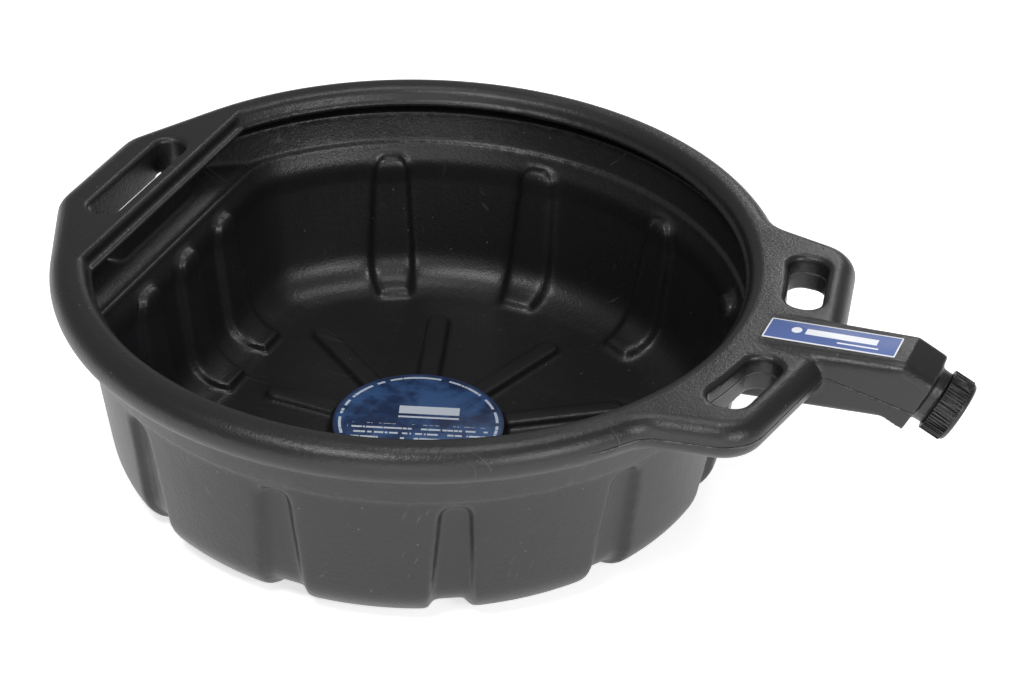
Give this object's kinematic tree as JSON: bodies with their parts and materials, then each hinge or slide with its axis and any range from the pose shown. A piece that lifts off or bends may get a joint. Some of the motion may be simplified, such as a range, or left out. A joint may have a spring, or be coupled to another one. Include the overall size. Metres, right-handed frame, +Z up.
{
  "type": "oil drain pan",
  "caption": "Round blow-moulded drain pan with a flat rear wall, a slotted rear handle, two front loop handles and a pouring spout closed by a knurled screw cap.",
  "frame": {"origin": "centre of the round base on the resting plane, below the middle of the floor's boss", "axes": "+X towards the spout, +Z up, so +Y is to the left when looking along the spout"},
  "size_m": [0.5653, 0.44, 0.1496],
  "materials": {
    "pan_plastic": "satin black polyethylene with a fine moulded grain",
    "cap_plastic": "satin black polyethylene, knurled",
    "liner_foam": "off-white closed-cell sealing foam",
    "floor_label_print": "dark blue printed film with plain bars in place of text",
    "spout_label_print": "blue printed film with a thin white border"
  },
  "bodies": {
    "pan": {"basin": "pan_plastic", "rim": "pan_plastic", "rear_handle": "pan_plastic", "loop_handle_left": "pan_plastic", "loop_handle_right": "pan_plastic", "spout": "pan_plastic", "floor_label": "floor_label_print", "spout_label": "spout_label_print"},
    "cap_liner": {"cap_liner": "liner_foam"},
    "screw_cap": {"screw_cap": "cap_plastic"}
  },
  "joints": [
    {"name": "cap_lift", "type": "slide", "parent": "pan", "child": "cap_liner", "axis": [0.9135, 0, -0.4067], "range_m": [0, 0.01]},
    {"name": "cap_turn", "type": "hinge", "parent": "cap_liner", "child": "screw_cap", "pos_m": [0.31295, 0, 0.12502], "axis": [0.9135, 0, -0.4067], "range_deg": [0, 901]}
  ],
  "couplings": [
    {"joint": "cap_turn", "follows": "cap_lift", "rad_per_m": 1570.8}
  ]
}
